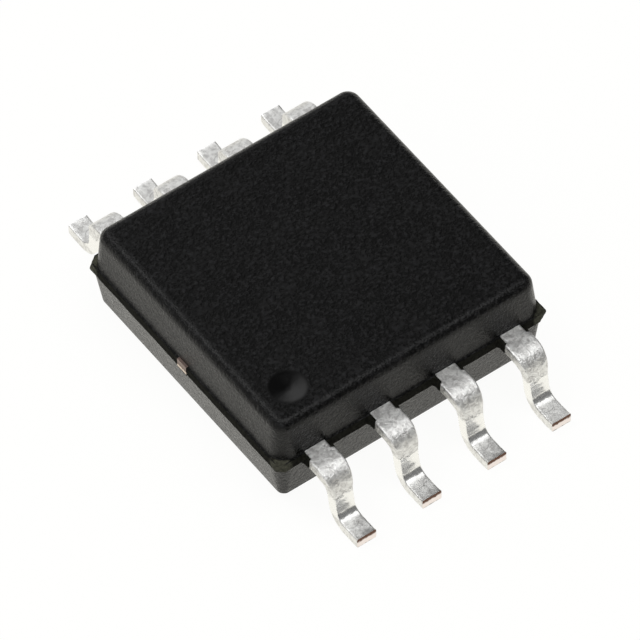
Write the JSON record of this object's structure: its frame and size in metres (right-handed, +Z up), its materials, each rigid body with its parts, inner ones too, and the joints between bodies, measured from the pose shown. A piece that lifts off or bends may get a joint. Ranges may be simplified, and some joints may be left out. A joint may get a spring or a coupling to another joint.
{
  "type": "integrated circuit in a small-outline package",
  "caption": "Small-outline surface-mount integrated circuit: a black moulded body with a dimple at the first lead, on gull-wing leads along two sides.",
  "frame": {"origin": "on the seating plane that the feet stand on, under the middle of the body", "axes": "+X along the rows of leads, +Y across them towards the row with leads 5 to 8, +Z up through the top face; lead 1 and the dimple are at -X and -Y"},
  "size_m": [0.0052, 0.0078, 0.0019],
  "materials": {
    "moulding_resin": "matte, finely grained silica-filled epoxy",
    "tin_plate": "matte tin plating over copper alloy, bare copper at the cut tips",
    "frame_copper": "rolled copper alloy",
    "silver_adhesive": "cured silver-filled epoxy",
    "silicon": "polished silicon with a patterned top",
    "gold_wire": "drawn gold wire"
  },
  "bodies": {
    "root": {"mould_body": "moulding_resin", "lead_1": "tin_plate", "lead_2": "tin_plate", "lead_3": "tin_plate", "lead_4": "tin_plate", "lead_5": "tin_plate", "lead_6": "tin_plate", "lead_7": "tin_plate", "lead_8": "tin_plate", "die_pad": "frame_copper", "die_attach": "silver_adhesive", "die": "silicon", "bond_wire_1": "gold_wire", "bond_wire_2": "gold_wire", "bond_wire_3": "gold_wire", "bond_wire_4": "gold_wire", "bond_wire_5": "gold_wire", "bond_wire_6": "gold_wire", "bond_wire_7": "gold_wire", "bond_wire_8": "gold_wire"}
  },
  "joints": []
}
